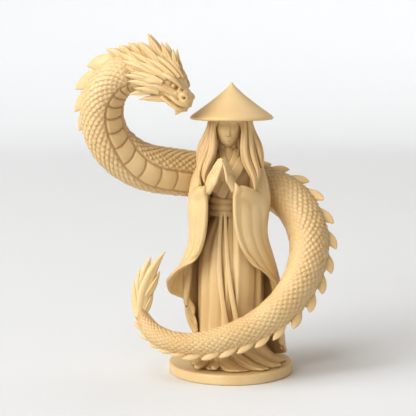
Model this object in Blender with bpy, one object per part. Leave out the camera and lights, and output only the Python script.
"""A carved statue: a wingless dragon coiled round a robed figure in a wide hat, standing on a round plinth.

Lengths are metres and +Z is up. The origin is the centre of the plinth's underside, and the figure
faces -Y. The carving is a free form. Its pose is written in carving units, of which its height holds
CARVING_UNITS, with z = 0 where it stands on the plinth, so it grows and shrinks with CARVING_HEIGHT.
"""

import math

import bmesh
import bpy
import numpy as np

PLINTH_RADIUS = 0.0241
PLINTH_THICKNESS = 0.0040
PLINTH_EDGE_RADIUS = 0.0007
PLINTH_SIDES = 32
SEAT_GAP = 0.0003  # between the plinth's top and the carving that stands on it

CARVING_HEIGHT = 0.1257
CARVING_UNITS = 125.7
UNIT = CARVING_HEIGHT / CARVING_UNITS

HAT_RADIUS = 0.0159
HAT_HEIGHT = 0.0146
HAT_WALL = 0.0013
CLOAK_WALL = 0.0014

FIN_LENGTH = 0.0076
FIN_WIDTH = 0.0034
FIN_THICKNESS = 0.0017

FACETS_KEPT = 0.71  # share of the facets left after the joined forms' slivers are merged

CREAM = (0.80, 0.60, 0.36, 1.0)
PALE_CREAM = (0.82, 0.63, 0.39, 1.0)

pieces = bpy.data.collections.new("carving_pieces")


# Curves and rings

def spline(stations, count):
    """Rows evenly spaced along the natural cubic spline through stations that start with a place."""
    values = np.array(stations, float)
    knots = np.concatenate([[0], np.cumsum(np.linalg.norm(np.diff(values[:, :3], axis=0), axis=1))])
    return spline_at(knots, values, np.linspace(0, knots[-1], count))


def spline_at(knots, values, places):
    """The natural cubic spline through (knots, values), read at places."""
    gap = np.diff(knots)
    system = np.eye(len(knots))
    slopes = np.zeros_like(values)
    for i in range(1, len(knots) - 1):
        system[i, i - 1:i + 2] = gap[i - 1], 2 * (gap[i - 1] + gap[i]), gap[i]
        slopes[i] = 6 * ((values[i + 1] - values[i]) / gap[i] - (values[i] - values[i - 1]) / gap[i - 1])
    bend = np.linalg.solve(system, slopes)
    i = np.clip(np.searchsorted(knots, places) - 1, 0, len(knots) - 2)
    left = (knots[i + 1] - places)[:, None]
    right = (places - knots[i])[:, None]
    step = gap[i][:, None]
    curved = (bend[i] * left**3 + bend[i + 1] * right**3) / (6 * step)
    straight = (values[i] * left + values[i + 1] * right) / step
    return curved + straight - (bend[i] * left + bend[i + 1] * right) * step / 6


def unit(vectors):
    return vectors / np.linalg.norm(vectors, axis=-1, keepdims=True)


def frames(path, guide):
    """The directions (along, side, up) at each point of a path, with up as near to the guide as can be."""
    along = unit(np.gradient(path, axis=0))
    side = unit(np.cross(along, np.broadcast_to(np.array(guide, float), path.shape)))
    return along, side, np.cross(side, along)


def oval_rings(path, half_width, half_height, guide, sides):
    """Oval rings along a path, half_width to the side and half_height towards the guide."""
    _, side, up = frames(path, guide)
    turn = np.linspace(0, 2 * math.pi, sides, endpoint=False)
    wide = np.cos(turn)[None, :, None] * np.asarray(half_width)[:, None, None]
    high = np.sin(turn)[None, :, None] * np.asarray(half_height)[:, None, None]
    return path[:, None] + wide * side[:, None] + high * up[:, None]


# Blender objects

def material(name, colour, roughness):
    made = bpy.data.materials.new(name)
    made.use_nodes = True
    shader = made.node_tree.nodes["Principled BSDF"]
    shader.inputs["Base Color"].default_value = colour
    shader.inputs["Roughness"].default_value = roughness
    shader.inputs["Metallic"].default_value = 0.0
    return made


def object_of(name, mesh, collection):
    mesh.normal_update()
    bmesh.ops.recalc_face_normals(mesh, faces=mesh.faces)
    bmesh.ops.triangulate(mesh, faces=mesh.faces)
    data = bpy.data.meshes.new(name)
    mesh.to_mesh(data)
    data.shade_smooth()
    mesh.free()
    made = bpy.data.objects.new(name, data)
    collection.objects.link(made)
    return made


def carving_place(points):
    """Carving units to metres above the plinth."""
    placed = np.array(points, float) * UNIT
    placed[..., 2] += PLINTH_THICKNESS + SEAT_GAP
    return placed


def closed_rings(name, rings, start=None, end=None):
    """A solid skinned over rings. Each end is closed by a fan to its own point, or to the ring's middle."""
    rings = np.asarray(rings, float)
    mesh = bmesh.new()
    placed = carving_place(rings)
    rows = [[mesh.verts.new(p) for p in ring] for ring in placed]
    sides = len(rows[0])
    for low, high in zip(rows, rows[1:]):
        for j in range(sides):
            mesh.faces.new((low[j], low[(j + 1) % sides], high[(j + 1) % sides], high[j]))
    tips = (rings[0].mean(0) if start is None else start, rings[-1].mean(0) if end is None else end)
    for row, tip in zip((rows[0], rows[-1]), tips):
        pole = mesh.verts.new(carving_place(tip))
        for j in range(sides):
            mesh.faces.new((row[j], row[(j + 1) % sides], pole))
    return object_of(name, mesh, pieces)


def sweep(name, stations, guide, sides=6, count=6):
    """A solid along a smooth path through stations of (x, y, z, half width, half height)."""
    rows = spline(stations, count)
    return closed_rings(name, oval_rings(rows[:, :3], rows[:, 3], rows[:, 4], guide, sides))


def leaf(name, root, tip, bow, width, thickness, face, sides=6, rings=4):
    """A pointed blade from root to tip, bowed sideways and widest near a third of its length."""
    root, tip, bow = (np.array(p, float) for p in (root, tip, bow))
    t = np.linspace(0, 0.86, rings)[:, None]
    path = root * (1 - t)**2 + (0.5 * (root + tip) + bow) * 2 * t * (1 - t) + tip * t**2
    t = t[:, 0]
    taper = (0.62 + 1.35 * t - 1.85 * t**2) / 0.866
    across = np.cross(unit(tip - root), face)
    guide = np.cross(across, unit(tip - root))
    rings_around = oval_rings(path, taper * width / 2, taper * thickness / 2, guide, sides)
    return closed_rings(name, rings_around, end=tip)


# The dragon's body

# Each station of the spine has a place, the body's girth across, and the way its belly faces.
SPINE = (
    (-34.0, -6.6, 111.2, 13.6, 0.15, -0.45, -0.90),
    (-42.2, -4.4, 109.5, 15.0, 0.60, -0.50, -0.70),
    (-47.0, -3.2, 104.6, 15.6, 0.80, -0.58, -0.30),
    (-49.1, -2.0, 97.5, 15.8, 0.72, -0.69, 0.00),
    (-48.5, -0.8, 90.9, 16.1, 0.64, -0.75, 0.15),
    (-46.4, 0.6, 85.3, 16.5, 0.46, -0.82, 0.34),
    (-42.7, 2.4, 80.7, 16.9, 0.22, -0.94, 0.26),
    (-37.8, 4.6, 76.9, 17.2, 0.03, -1.00, 0.04),
    (-31.4, 7.4, 74.2, 17.7, -0.05, -0.97, -0.24),
    (-24.5, 10.6, 72.7, 17.7, 0.00, -0.94, -0.34),
    (-14.0, 14.4, 71.0, 17.5, 0.00, -0.92, -0.39),
    (-2.5, 16.6, 68.9, 17.2, 0.00, -0.94, -0.33),
    (7.5, 16.0, 67.1, 16.8, -0.20, -0.90, -0.36),
    (15.0, 13.2, 65.4, 16.4, -0.45, -0.76, -0.44),
    (20.6, 9.9, 62.9, 16.2, -0.65, -0.50, -0.55),
    (24.6, 6.4, 59.3, 15.8, -0.78, -0.20, -0.58),
    (27.8, 2.6, 53.8, 15.6, -0.93, -0.10, -0.32),
    (29.5, -1.2, 47.4, 15.3, -1.00, -0.02, 0.00),
    (29.1, -4.6, 42.0, 14.8, -0.96, 0.06, 0.22),
    (27.0, -8.8, 35.6, 14.1, -0.85, 0.18, 0.46),
    (22.6, -13.6, 28.6, 13.3, -0.66, 0.34, 0.66),
    (13.6, -18.4, 20.6, 11.8, -0.42, 0.46, 0.78),
    (2.6, -21.0, 15.2, 10.1, -0.20, 0.50, 0.84),
    (-6.2, -21.4, 12.4, 9.2, -0.05, 0.50, 0.86),
    (-14.4, -20.8, 11.1, 8.3, 0.08, 0.48, 0.87),
    (-22.1, -19.2, 11.7, 7.8, 0.28, 0.42, 0.86),
    (-28.4, -17.0, 14.1, 7.3, 0.55, 0.26, 0.79),
    (-32.2, -14.8, 17.9, 6.5, 0.80, 0.06, 0.58),
    (-34.4, -13.0, 23.2, 5.4, 0.96, -0.12, 0.24),
    (-34.6, -12.0, 28.6, 4.4, 0.98, -0.18, -0.05),
)
BELLY_HALF_ANGLE = math.radians(31)
BELLY_COLUMNS = 5
BACK_COLUMNS = 8
PLATE_COUNT = 13
PLATES_END = 0.345  # how far along the spine the carved belly plates run
FIRST_PLATE_SHARE = 0.77  # length of the first plate over the mean plate
PLATE_STEP = 0.40
GROOVE_SHARE = 0.2  # length of a groove over its plate
REST_RINGS = 30
# How much the section is flattened below and drawn up into a ridge behind, and over what angles
BELLY_FLATNESS, BELLY_SPREAD = 0.07, 0.55
RIDGE_HEIGHT, RIDGE_SPREAD = 0.06, 0.22


def spine_at(shares):
    """Places, directions and girth of the dragon at shares of the spine's length."""
    stations = np.array(SPINE, float)
    knots = np.concatenate([[0], np.cumsum(np.linalg.norm(np.diff(stations[:, :3], axis=0), axis=1))])
    rows = spline_at(knots, stations, np.asarray(shares) * knots[-1])
    ahead = spline_at(knots, stations, np.asarray(shares) * knots[-1] + 0.01)
    along = unit(ahead[:, :3] - rows[:, :3])
    belly = unit(rows[:, 4:7] - (rows[:, 4:7] * along).sum(1)[:, None] * along)
    return rows[:, :3], along, belly, np.cross(along, belly), rows[:, 3]


def body_radius(turn, half_girth, plate):
    """Distance from the spine at an angle from the belly: flatter below, with a ridge along the back."""
    flat = BELLY_FLATNESS * np.exp(-(turn / BELLY_SPREAD)**2)
    ridge = RIDGE_HEIGHT * np.exp(-((np.pi - np.abs(turn)) / RIDGE_SPREAD)**2)
    inside = np.abs(turn) < BELLY_HALF_ANGLE * 1.01
    return half_girth[:, None] * (1 - flat + ridge) + np.where(inside, plate[:, None], 0)


def plate_edges():
    """Where each belly plate starts along the spine. The plates grow evenly from the throat on."""
    lengths = np.linspace(FIRST_PLATE_SHARE, 2 - FIRST_PLATE_SHARE, PLATE_COUNT)
    return PLATES_END * np.concatenate([[0], np.cumsum(lengths)]) / lengths.sum()


def dragon_body():
    grooves = plate_edges()[:-1]
    crests = grooves + GROOVE_SHARE * np.diff(plate_edges())
    rest = np.linspace(PLATES_END, 1.0, REST_RINGS)
    shares = np.concatenate([np.stack([grooves, crests], 1).ravel(), rest])
    plate = np.concatenate([np.tile([-PLATE_STEP, PLATE_STEP], PLATE_COUNT), np.zeros(REST_RINGS)])
    place, _, belly, side, girth = spine_at(shares)
    belly_turn = np.linspace(-BELLY_HALF_ANGLE, BELLY_HALF_ANGLE, BELLY_COLUMNS)
    back_turn = np.linspace(BELLY_HALF_ANGLE, 2 * math.pi - BELLY_HALF_ANGLE, BACK_COLUMNS + 2)[1:-1]
    turn = np.concatenate([belly_turn, np.where(back_turn > math.pi, back_turn - 2 * math.pi, back_turn)])
    radius = body_radius(turn[None], girth / 2, plate)[..., None]
    rings = place[:, None] + radius * (
        np.cos(turn)[None, :, None] * belly[:, None] + np.sin(turn)[None, :, None] * side[:, None]
    )
    closed_rings("dragon_body", rings)


def fin(name, share, size, lift=0.52):
    """One blade of the crest, rooted inside the back and swept towards the tail."""
    place, along, belly, _, girth = (row[0] for row in spine_at([share]))
    length = FIN_LENGTH / UNIT * size
    out = -belly
    root = place + out * (girth / 2 - 0.12 * length) - along * 0.34 * length
    tip = place + out * (girth / 2 + (lift - 0.1) * length) + along * 0.60 * length
    side = np.cross(along, belly)
    width, thickness = (size * measure / UNIT for measure in (FIN_WIDTH, FIN_THICKNESS))
    leaf(name, root, tip, out * 0.17 * length, width, thickness, side, 4, 3)


# Runs of blades along the spine: first and last place, number of blades, first and last size, first and
# last lift
CREST = (
    (0.044, 0.115, 4, 1.20, 1.05, 0.72, 0.66),
    (0.142, 0.414, 10, 1.00, 1.00, 0.55, 0.52),
    (0.442, 0.856, 15, 1.00, 0.86, 0.56, 0.50),
    (0.877, 0.950, 5, 0.70, 0.50, 0.46, 0.40),
)


def dragon_crest():
    for run, (first, last, count, big, small, high, low) in enumerate(CREST):
        for k, (share, size, lift) in enumerate(np.linspace((first, big, high), (last, small, low), count)):
            fin(f"crest_fin_{run}_{k}", share, size, lift)


# Blades of the tail: root, tip, sideways bow, width
TAIL_BLADES = (
    ((-34.6, -12.0, 27.0), (-24.7, -10.4, 44.4), (-3.6, 0.0, 0.6), 4.8),
    ((-34.3, -11.8, 31.0), (-29.9, -10.6, 43.0), (-1.6, 0.0, 0.4), 3.6),
    ((-34.4, -12.2, 30.0), (-34.6, -11.2, 39.2), (-0.9, 0.0, 0.0), 3.2),
    ((-34.6, -12.4, 24.5), (-36.8, -11.6, 33.8), (-0.7, 0.0, -0.4), 2.8),
    ((-34.2, -12.8, 20.0), (-37.6, -12.0, 27.6), (-0.6, 0.0, -0.4), 2.6),
    ((-33.0, -11.8, 31.6), (-27.7, -11.0, 36.8), (0.9, 0.0, -0.5), 3.0),
    ((-33.8, -12.0, 24.8), (-29.8, -11.4, 30.0), (0.9, 0.0, -0.6), 2.4),
)
TAIL_BLADE_THICKNESS = 1.7


def dragon_tail():
    for k, (root, tip, bow, width) in enumerate(TAIL_BLADES):
        leaf(f"tail_blade_{k}", root, tip, bow, width, TAIL_BLADE_THICKNESS, (0.1, -1.0, 0.0), 4, 4)


# The dragon's head, in its own directions: ahead to the snout, up, and out to its near side

HEAD_BASE = np.array((-34.3, -6.4, 110.8))
HEAD_AHEAD = unit(np.array((0.868, -0.352, -0.357)))
HEAD_SIDE = unit(np.array((-0.377, -0.929, 0.0)))
HEAD_UP = np.cross(HEAD_SIDE, HEAD_AHEAD)

# Along the skull: how far ahead, top, bottom, half width
SKULL = (
    (-4.0, 5.0, -6.0, 5.6),
    (0.0, 6.2, -6.2, 6.2),
    (5.0, 7.2, -5.8, 6.4),
    (9.5, 7.7, -5.4, 6.2),
    (13.0, 7.8, -5.3, 5.6),
    (15.8, 7.1, -5.4, 5.0),
    (17.9, 5.6, -5.9, 4.5),
    (18.9, 3.2, -6.1, 4.1),
    (20.2, 2.2, -6.1, 3.8),
    (21.7, 1.5, -5.8, 3.4),
    (22.6, 0.2, -5.0, 2.6),
)
SKULL_SIDES = 14
SKULL_SIDE_ROUNDING, SKULL_TOP_ROUNDING = 0.85, 0.9  # 1 is an oval section, less is squarer
SNOUT_TIP = (23.0, -2.2, 0.0)


def head_place(ahead, up, side):
    return (HEAD_BASE + np.multiply.outer(np.asarray(ahead, float), HEAD_AHEAD)
            + np.multiply.outer(np.asarray(up, float), HEAD_UP)
            + np.multiply.outer(np.asarray(side, float), HEAD_SIDE))


def dragon_skull():
    turn = np.linspace(0, 2 * math.pi, SKULL_SIDES, endpoint=False) + math.pi / SKULL_SIDES
    rings = []
    for ahead, top, bottom, half in SKULL:
        across = half * np.sign(np.cos(turn)) * np.abs(np.cos(turn))**SKULL_SIDE_ROUNDING
        rise = (top - bottom) / 2 * np.sign(np.sin(turn)) * np.abs(np.sin(turn))**SKULL_TOP_ROUNDING
        rings.append(head_place(np.full(SKULL_SIDES, ahead), (top + bottom) / 2 + rise, across))
    closed_rings("dragon_skull", rings, end=head_place(*SNOUT_TIP))


# Forms on both sides of the head: name, then stations of (ahead, up, side, half width, half height)
HEAD_FORMS = (
    ("brow", ((9.8, 4.2, 4.9, 1.0, 1.0), (13.2, 4.9, 5.4, 1.6, 1.5), (16.4, 4.3, 4.2, 1.5, 1.4),
              (19.0, 2.8, 2.2, 0.9, 0.9))),
    ("eye", ((14.3, 2.0, 4.8, 0.6, 0.5), (15.9, 1.7, 4.7, 1.0, 0.9), (17.6, 1.2, 4.1, 0.5, 0.4))),
    ("cheek", ((4.0, 0.6, 5.8, 1.2, 1.6), (9.0, 0.4, 6.2, 1.7, 2.2), (13.4, -0.4, 5.2, 1.2, 1.6),
               (18.6, -0.6, 3.8, 0.8, 0.8))),
    ("upper_lip", ((13.8, -2.0, 5.0, 0.6, 0.6), (18.2, -3.1, 4.2, 0.9, 0.8), (21.4, -3.8, 3.0, 0.9, 0.8),
                   (22.8, -3.5, 0.9, 0.7, 0.8))),
    ("lower_lip", ((12.6, -3.9, 4.6, 0.7, 0.7), (17.6, -5.2, 4.0, 0.9, 0.8), (20.8, -5.9, 2.6, 0.9, 0.8),
                   (21.7, -6.0, 0.6, 0.7, 0.7))),
    ("nostril", ((19.2, -0.2, 3.2, 0.9, 0.9), (21.0, -0.6, 3.1, 1.3, 1.3), (22.4, -1.2, 1.8, 0.9, 1.0))),
)
# Locks and horns: root and tip as (ahead, up, side), how far the middle bows up, and the width
CROWN_LOCKS = (
    ((10.2, 5.6, 0.9), (-2.0, 15.4, 1.0), -0.6, 4.6),
    ((12.4, 6.0, 1.4), (4.7, 14.6, 2.2), 0.5, 3.2),
    ((13.4, 6.2, 1.2), (10.0, 14.0, 1.8), 0.3, 2.2),
    ((15.0, 5.8, 1.0), (12.8, 10.6, 1.5), 0.2, 1.8),
    ((8.6, 5.4, 3.6), (-0.4, 11.4, 4.6), 0.8, 3.6),
    ((5.0, 5.2, 1.4), (-4.6, 11.2, 1.4), 1.0, 3.8),
    ((0.6, 4.6, 1.6), (-8.0, 9.6, 1.6), 0.8, 3.8),
    ((-3.4, 3.8, 1.2), (-11.6, 7.0, 1.4), 1.2, 3.8),
    ((-7.0, 2.6, 1.2), (-16.2, 3.9, 1.4), 1.2, 3.8),
)
SIDE_LOCKS = (
    ((9.6, 4.2, 4.8), (-5.4, 7.2, 4.8), 1.0, 3.0),
    ((2.0, 3.6, 4.8), (-8.8, 8.6, 3.8), -1.4, 3.2),
    ((9.0, 2.8, 5.4), (-7.2, 2.6, 6.2), 1.4, 3.4),
    ((0.0, 0.8, 5.6), (-9.8, 1.2, 5.6), 1.2, 3.0),
    ((10.4, 1.2, 5.8), (-3.4, -1.6, 7.2), 0.9, 3.2),
    ((9.0, -0.8, 5.8), (-1.2, -3.2, 7.0), 0.5, 2.6),
    ((12.0, -2.2, 5.2), (2.4, -4.6, 6.6), 0.4, 2.6),
    ((8.6, -3.6, 4.6), (0.4, -7.9, 5.0), 0.6, 2.6),
    ((14.6, -4.4, 3.2), (4.0, -8.6, 3.8), 1.2, 2.6),
)
CHIN_TUFT = ((19.9, -4.6, 0.0), (18.8, -9.0, 0.0), 0.0, 2.8)
LOCK_THICKNESS_SHARE = 0.66


def head_lock(name, root, tip, bow, width, mirror=1):
    flip = np.array((1, 1, mirror))
    root, tip = (head_place(*(np.array(p) * flip)) for p in (root, tip))
    leaf(name, root, tip, bow * HEAD_UP, width, width * LOCK_THICKNESS_SHARE, HEAD_SIDE, 4, 3)


def dragon_head():
    dragon_skull()
    for mirror, which in ((1, "near"), (-1, "far")):
        for name, stations in HEAD_FORMS:
            rows = np.array(stations, float)
            places = head_place(rows[:, 0], rows[:, 1], rows[:, 2] * mirror)
            sweep(f"{name}_{which}", np.hstack([places, rows[:, 3:]]), HEAD_UP, sides=5, count=4)
        for k, lock in enumerate(CROWN_LOCKS):
            head_lock(f"crown_lock_{which}_{k}", *lock, mirror)
        for k, lock in enumerate(SIDE_LOCKS):
            head_lock(f"side_lock_{which}_{k}", *lock, mirror)
    head_lock("chin_tuft", *CHIN_TUFT)


# The robed figure

# Skirt: height, half width, half depth, depth of the pleats
SKIRT = ((0.0, 15.2, 15.0, 0.5), (3.0, 13.2, 12.8, 0.7), (10.0, 11.9, 11.4, 0.7), (24.0, 11.2, 10.4, 0.6),
         (38.0, 10.4, 9.0, 0.5), (48.0, 8.4, 7.2, 0.4), (57.5, 5.6, 5.4, 0.15))
SKIRT_CENTRE = (-0.6, 0.6)
SKIRT_ROWS = (0.0, 2.0, 5.0, 12.0, 24.0, 37.0, 48.0, 57.5)
PLEATS = 15
SASH_BANDS = 3
SASH_LOW, SASH_HIGH = 56.8, 63.8
SASH_CENTRE = (-2.2, 0.2)
SASH_GROOVE, SASH_SWELL = (5.4, 5.7), (6.1, 6.4)  # half width and half depth between the bands and at them
SASH_EDGE_SHARE = 0.4
# Trunk, shoulders and neck: height, half width, half depth
TRUNK = ((54.0, 4.8, 4.8), (60.0, 5.0, 5.2), (66.0, 7.4, 6.4), (71.0, 8.8, 6.6), (75.5, 9.6, 5.4),
         (78.0, 8.2, 4.4), (79.8, 4.6, 3.6), (81.5, 2.6, 2.7), (87.0, 2.5, 2.7))
TRUNK_CENTRE = (-0.8, 0.2)


def oval_stack(name, rows, centre, sides, wave=0):
    """A solid over level ovals of (height, half width, half depth, ripple), with wave ripples around."""
    turn = np.linspace(0, 2 * math.pi, sides, endpoint=False)
    rings = []
    for height, half_width, half_depth, *ripple in rows:
        swell = (ripple[0] if ripple else 0.0) * np.cos(wave * turn)
        rings.append(np.stack([centre[0] + (half_width + swell) * np.sin(turn),
                               centre[1] - (half_depth + swell) * np.cos(turn), np.full(sides, height)], 1))
    closed_rings(name, rings)


def skirt():
    rows = spline_at(np.array([row[0] for row in SKIRT]), np.array(SKIRT), np.array(SKIRT_ROWS))
    oval_stack("skirt", rows, SKIRT_CENTRE, 2 * PLEATS, PLEATS)


def sash():
    band = (SASH_HIGH - SASH_LOW) / SASH_BANDS
    rows = []
    for k in range(SASH_BANDS):
        low = SASH_LOW + k * band
        rows += [(low, *SASH_GROOVE), (low + SASH_EDGE_SHARE * band, *SASH_SWELL)]
    rows.append((SASH_HIGH, *SASH_GROOVE))
    oval_stack("sash", rows, SASH_CENTRE, 14)


# The sash's two hanging ends and the robe's crossed edges: stations of (x, y, z, half width, half height)
RIBBONS = (
    ((-3.8, -5.8, 59.0, 0.8, 0.6), (-4.6, -8.4, 44.0, 1.0, 0.7), (-3.4, -10.8, 26.0, 1.2, 0.8),
     (0.0, -12.6, 8.0, 1.3, 0.8)),
    ((-2.3, -6.0, 59.0, 0.8, 0.6), (-1.7, -8.6, 43.0, 1.0, 0.7), (0.5, -10.9, 25.0, 1.2, 0.8),
     (4.4, -12.2, 8.0, 1.3, 0.8)),
)
COLLARS = (
    ((3.0, -3.0, 80.6, 1.2, 0.7), (1.4, -6.2, 76.0, 1.3, 0.7), (-3.0, -6.6, 69.0, 1.3, 0.7),
     (-5.0, -5.6, 64.5, 1.0, 0.6)),
    ((-4.6, -3.0, 80.6, 1.2, 0.7), (-3.4, -6.0, 76.0, 1.3, 0.7), (0.4, -6.5, 69.0, 1.3, 0.6),
     (2.4, -5.6, 64.5, 1.0, 0.5)),
)

# The cloak and its wide sleeves hang from meridians that run from its top down to its lower edge, from the
# left front rim round the back to the right front rim.
CLOAK = (
    ((-9.7, -12.5, 68.4), (-9.7, -12.9, 58.8), (-10.7, -12.5, 49.4), (-14.2, -11.5, 41.5),
     (-20.2, -9.6, 37.4), (-24.2, -7.6, 32.6)),
    ((-12.0, -8.6, 67.2), (-14.0, -8.8, 60.0), (-14.4, -8.8, 51.0), (-16.6, -8.4, 42.0), (-21.0, -6.6, 35.0),
     (-22.6, -5.0, 28.4)),
    ((-12.6, -1.6, 77.0), (-15.6, -2.2, 70.5), (-16.8, -2.8, 62.0), (-15.4, -2.6, 51.0), (-16.8, -2.0, 41.0),
     (-19.0, -1.4, 31.0), (-17.2, -0.8, 23.0)),
    ((-10.4, 2.6, 77.0), (-15.0, 3.2, 64.0), (-13.6, 3.6, 52.0), (-14.4, 4.2, 40.0), (-16.4, 4.6, 26.0),
     (-15.8, 3.6, 14.0)),
    ((-7.0, 4.4, 77.0), (-10.6, 6.8, 65.0), (-10.6, 8.0, 50.0), (-11.8, 9.6, 34.0), (-14.2, 10.8, 18.0),
     (-12.8, 11.6, 5.0)),
    ((-0.4, 5.2, 78.0), (-0.4, 7.8, 67.0), (-0.3, 9.2, 50.0), (0.0, 11.2, 30.0), (0.2, 14.2, 11.0),
     (0.3, 16.2, 0.9)),
    ((6.6, 4.4, 77.0), (10.0, 6.8, 65.0), (10.2, 8.0, 50.0), (12.0, 9.4, 34.0), (15.6, 10.2, 17.0),
     (18.0, 9.6, 1.2)),
    ((9.8, 2.6, 76.6), (13.8, 3.0, 64.0), (12.6, 3.4, 52.0), (14.4, 3.8, 40.0), (18.2, 4.2, 24.0),
     (21.4, 4.4, 4.6)),
    ((11.8, -1.6, 76.4), (14.8, -2.2, 70.0), (15.4, -2.8, 62.5), (13.5, -2.6, 51.5), (15.2, -1.6, 42.0),
     (18.2, 0.0, 30.0), (20.6, 1.6, 14.0)),
    ((7.6, -8.4, 65.6), (9.4, -10.0, 58.0), (10.2, -10.2, 50.0), (12.6, -8.8, 43.0), (16.6, -5.0, 34.0),
     (19.4, -1.6, 22.0)),
    ((1.4, -12.8, 69.4), (1.2, -13.7, 59.0), (3.3, -13.6, 48.0), (8.0, -12.2, 40.4), (13.0, -9.6, 36.4),
     (17.6, -6.4, 31.0)),
)
CLOAK_ACROSS, CLOAK_DOWN = 29, 9
CLOAK_FOLDS, CLOAK_FOLD_DEPTH = 7, 0.8


def cloak():
    lines = np.array([spline(meridian, CLOAK_DOWN) for meridian in CLOAK])
    across = np.linspace(0, 1, CLOAK_ACROSS)
    knots = np.linspace(0, 1, len(CLOAK))
    grid = np.stack([spline_at(knots, lines[:, k], across) for k in range(CLOAK_DOWN)], 1)
    outward = unit(grid * (1, 1, 0))
    fall = np.linspace(0.0, 1, CLOAK_DOWN)[None, :, None]
    folds = np.sin(math.pi * across) * np.cos(2 * math.pi * CLOAK_FOLDS * across)
    grid = grid + outward * CLOAK_FOLD_DEPTH * fall * folds[:, None, None]
    mesh = bmesh.new()
    verts = [[mesh.verts.new(p) for p in row] for row in carving_place(grid)]
    for left, right in zip(verts, verts[1:]):
        for k in range(CLOAK_DOWN - 1):
            mesh.faces.new((left[k], right[k], right[k + 1], left[k + 1]))
    made = object_of("cloak", mesh, pieces)
    wall = made.modifiers.new("wall", "SOLIDIFY")
    wall.thickness = CLOAK_WALL
    wall.offset = 0.0
    made.modifiers.new("flat_facets", "TRIANGULATE")


ARMS = (
    ((-8.4, 1.2, 76.2, 3.2, 3.2), (-12.2, 0.0, 71.0, 4.0, 3.8), (-13.2, -3.4, 64.6, 3.9, 3.8),
     (-11.6, -8.4, 65.6, 3.0, 3.2), (-9.4, -12.0, 67.4, 2.2, 2.5)),
    ((7.4, 1.2, 75.6, 3.2, 3.2), (11.2, 0.0, 70.0, 3.9, 3.8), (11.8, -3.4, 63.4, 3.8, 3.8),
     (7.4, -8.8, 64.8, 3.0, 3.2), (1.8, -12.4, 67.8, 2.2, 2.5)),
)
# Each hand: wrist, palm and the tips of its fingers
HANDS = (
    ((-9.0, -12.2, 66.8), (-7.2, -13.0, 72.4), (-4.0, -13.4, 79.8)),
    ((1.0, -12.4, 67.4), (-2.2, -13.0, 73.0), (-3.2, -13.4, 79.6)),
)


def hands():
    for which, (wrist, palm, tips) in zip(("left", "right"), HANDS):
        wrist, palm, tips = (np.array(p) for p in (wrist, palm, tips))
        fingers = 0.45 * palm + 0.55 * tips
        stations = [(*wrist, 1.3, 1.4), (*palm, 1.5, 2.2), (*fingers, 1.0, 1.9), (*tips, 0.4, 0.8)]
        sweep(f"{which}_hand", stations, (0, 1, 0.2), sides=8, count=6)


# The head and its hair

HEAD_CENTRE = np.array((-0.8, -1.0, 92.3))
HEAD_RADII = np.array((4.7, 6.0, 7.1))
# The nose, from the head's centre: bridge, tip and base, each with its half width and half depth
NOSE = (((0.0, -5.5, 1.0), (0.5, 0.5)), ((0.0, -6.3, -1.6), (0.7, 0.8)), ((0.0, -5.4, -2.6), (0.6, 0.4)))
# The hair down the back: height, half width, half depth, how far behind the middle
HAIR_STACK = ((58.0, 5.0, 2.2, 9.8), (64.0, 7.4, 2.8, 9.6), (72.0, 9.0, 3.4, 8.2), (77.5, 10.4, 4.2, 5.8),
              (83.0, 9.8, 5.0, 3.4), (88.0, 7.8, 5.6, 2.4), (94.5, 7.2, 6.2, 1.8))
HAIR_SIDES, HAIR_WAVES, HAIR_WAVE_DEPTH = 16, 8, 0.5
# Locks in front of the shoulders: stations of (x, y, z, half width, half depth)
FRONT_LOCKS = (
    ((-5.8, -5.0, 95.5, 0.9, 1.2), (-6.6, -5.8, 88.0, 1.4, 1.4), (-6.8, -7.0, 80.5, 1.7, 1.4),
     (-8.6, -9.0, 75.0, 1.5, 1.2), (-10.6, -9.8, 70.6, 0.4, 0.5)),
    ((-7.0, -3.0, 95.5, 1.2, 1.5), (-8.0, -3.8, 88.0, 1.7, 1.6), (-9.4, -5.2, 80.5, 2.0, 1.6),
     (-11.0, -7.0, 74.0, 1.5, 1.3), (-11.8, -8.6, 69.4, 0.5, 0.6)),
    ((-7.2, -0.6, 95.5, 1.5, 1.8), (-8.0, -1.2, 88.0, 1.9, 1.9), (-10.6, -2.0, 81.0, 2.1, 1.8),
     (-12.6, -3.4, 75.0, 1.1, 1.1)),
    ((4.2, -5.0, 95.5, 0.9, 1.2), (4.6, -5.8, 88.0, 1.4, 1.4), (4.9, -7.0, 81.0, 1.6, 1.4),
     (6.2, -8.8, 74.0, 1.3, 1.1), (9.0, -9.6, 66.8, 0.4, 0.5)),
    ((5.4, -3.0, 95.5, 1.2, 1.5), (6.4, -3.8, 88.0, 1.7, 1.6), (8.0, -5.6, 81.0, 1.8, 1.5),
     (7.8, -7.6, 75.0, 1.1, 1.0), (8.8, -8.6, 70.8, 0.4, 0.5)),
    ((6.4, -0.6, 95.5, 1.5, 1.8), (7.4, -1.2, 88.0, 1.8, 1.8), (9.8, -2.2, 81.6, 2.0, 1.7),
     (11.2, -3.8, 75.6, 1.0, 1.0)),
)
HAT_CENTRE = (0.2, 0.0)
HAT_BRIM_LEVEL = 93.7
HAT_SIDES = 26
HAT_RINGS = np.array((0.985, 0.76, 0.52, 0.30, 0.12))  # shares of the radius, from the brim to the point
HAT_STRAIGHTNESS = 0.62  # 1 is a straight cone, less is a slope that steepens towards the point
# Under the brim: the hollow's edge as shares of radius and height, then the edge's foot and side
HAT_HOLLOW, HAT_FOOT, HAT_SIDE = (0.70, 0.07), (0.97, -0.1), (1.0, 0.4)
HAT_TOP_OF_EDGE = 0.8


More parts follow.
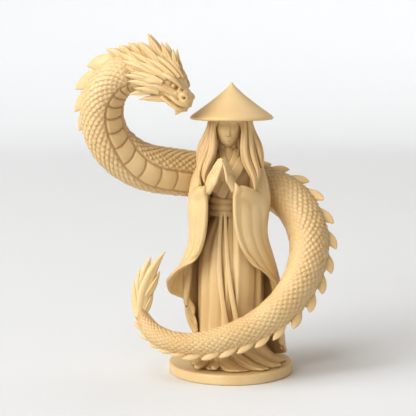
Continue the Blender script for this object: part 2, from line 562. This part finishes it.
def figure_head():
    rows = []
    for turn in np.linspace(-1.25, 1.25, 8):
        level = HEAD_CENTRE[2] + HEAD_RADII[2] * math.sin(turn)
        narrow = math.cos(turn)**(1.0 if turn < 0 else 0.7)
        rows.append((level, HEAD_RADII[0] * narrow, HEAD_RADII[1] * math.cos(turn)**0.7))
    oval_stack("head", rows, HEAD_CENTRE[:2], 14)
    nose = [(*(HEAD_CENTRE + place), *size) for place, size in NOSE]
    sweep("nose", nose, (0, -1, 0), sides=5, count=3)


def hair():
    turn = np.linspace(0, 2 * math.pi, HAIR_SIDES, endpoint=False)
    rings = []
    wave = HAIR_WAVE_DEPTH * np.cos(HAIR_WAVES * turn)
    for level, half_width, half_depth, setback in HAIR_STACK:
        rings.append(np.stack([(half_width + wave) * np.sin(turn) - 0.4,
                               setback - (half_depth + wave) * np.cos(turn), np.full(HAIR_SIDES, level)], 1))
    closed_rings("hair", rings)
    for k, stations in enumerate(FRONT_LOCKS):
        sweep(f"front_lock_{k}", stations, (0, -1, 0), sides=5, count=6)


def hat():
    """A turned cone with a hollow curve up to its point, closed below by a shallow cone."""
    radius, height, wall = (size / UNIT for size in (HAT_RADIUS, HAT_HEIGHT, HAT_WALL))
    rise = 1 - (HAT_STRAIGHTNESS * HAT_RINGS + (1 - HAT_STRAIGHTNESS) * np.sqrt(HAT_RINGS))
    edge = HAT_TOP_OF_EDGE * wall
    profile = [(HAT_HOLLOW[0] * radius, HAT_BRIM_LEVEL + HAT_HOLLOW[1] * height)]
    profile += [(reach * radius, HAT_BRIM_LEVEL + level * wall) for reach, level in (HAT_FOOT, HAT_SIDE)]
    profile += zip(radius * HAT_RINGS, HAT_BRIM_LEVEL + edge + (height - edge) * rise)
    turn = np.linspace(0, 2 * math.pi, HAT_SIDES, endpoint=False)
    circle = np.stack([np.cos(turn), np.sin(turn), np.zeros(HAT_SIDES)], 1)
    rings = [np.array((*HAT_CENTRE, level)) + reach * circle for reach, level in profile]
    closed_rings("hat", rings, (*HAT_CENTRE, profile[0][1]), (*HAT_CENTRE, HAT_BRIM_LEVEL + height))


# The robe's train, which sweeps over the plinth: where each fold leaves the skirt, its middle and its end,
# and its half width at the start
TRAIN_END_WIDTH, TRAIN_END_HEIGHT = 0.62, 0.55  # shares of that half width at the end
TRAIN = (
    ((-8.4, -8.0, 7.0), (-11.2, -12.6, 3.2), (-13.8, -15.8, 1.1), 1.7),
    ((-5.4, -10.6, 8.0), (-6.4, -15.2, 3.6), (-8.0, -18.6, 1.1), 1.8),
    ((-2.6, -11.0, 9.0), (-2.0, -16.0, 4.0), (-3.0, -19.4, 1.1), 1.7),
    ((0.4, -11.0, 9.6), (2.2, -15.8, 4.4), (1.9, -19.4, 1.1), 1.7),
    ((3.4, -10.4, 10.2), (6.2, -14.6, 4.8), (7.2, -17.8, 1.1), 1.8),
    ((6.0, -9.2, 10.6), (9.8, -12.6, 5.0), (12.2, -14.6, 1.1), 1.8),
    ((8.2, -7.0, 10.8), (12.6, -9.8, 5.2), (16.0, -10.8, 1.2), 1.8),
    ((9.8, -4.2, 11.0), (14.8, -6.2, 5.2), (18.6, -6.4, 1.2), 1.8),
    ((10.6, -0.8, 11.0), (15.8, -2.0, 5.2), (20.0, -1.6, 1.2), 1.8),
)


def train():
    for k, (start, middle, end, half) in enumerate(TRAIN):
        stations = [(*start, half, half), (*middle, half, 0.8 * half),
                    (*end, TRAIN_END_WIDTH * half, TRAIN_END_HEIGHT * half)]
        sweep(f"train_fold_{k}", stations, (0, 0, 1), sides=6, count=5)


# Assembly

def plinth(finish):
    mesh = bmesh.new()
    bmesh.ops.create_cone(mesh, cap_ends=True, segments=PLINTH_SIDES, radius1=PLINTH_RADIUS,
                          radius2=PLINTH_RADIUS, depth=PLINTH_THICKNESS)
    made = object_of("plinth", mesh, bpy.context.scene.collection)
    made.location.z = PLINTH_THICKNESS / 2
    edge = made.modifiers.new("rounded_edge", "BEVEL")
    edge.width = PLINTH_EDGE_RADIUS
    edge.segments = 2
    made.data.materials.append(finish)


def figure_and_dragon(finish):
    """Joins every carved form into one solid, as it is cut from one block."""
    dragon_body()
    dragon_crest()
    dragon_tail()
    dragon_head()
    skirt()
    sash()
    oval_stack("trunk", TRUNK, TRUNK_CENTRE, 12)
    for k, stations in enumerate(RIBBONS):
        sweep(f"ribbon_{k}", stations, (0, -1, 0), sides=5, count=6)
    for k, stations in enumerate(COLLARS):
        sweep(f"collar_{k}", stations, (0, -1, 0), sides=5, count=5)
    cloak()
    for k, stations in enumerate(ARMS):
        sweep(f"arm_{k}", stations, (0, 0, 1), sides=7, count=6)
    hands()
    figure_head()
    hair()
    hat()
    train()
    for piece in pieces.objects:
        piece.hide_render = True
        piece.display_type = "WIRE"
    core = pieces.objects["skirt"]
    whole = bpy.data.objects.new("figure_and_dragon", core.data)
    bpy.context.scene.collection.objects.link(whole)
    pieces.objects.unlink(core)
    join = whole.modifiers.new("join", "BOOLEAN")
    join.operation = "UNION"
    join.solver = "EXACT"
    join.operand_type = "COLLECTION"
    join.collection = pieces
    thin = whole.modifiers.new("fewer_facets", "DECIMATE")
    thin.ratio = FACETS_KEPT
    whole.data.materials.append(finish)


def main():
    for old in list(bpy.data.objects):
        bpy.data.objects.remove(old)
    bpy.context.scene.collection.children.link(pieces)
    plinth(material("plinth_cream", PALE_CREAM, 0.45))
    figure_and_dragon(material("carving_cream", CREAM, 0.42))


main()
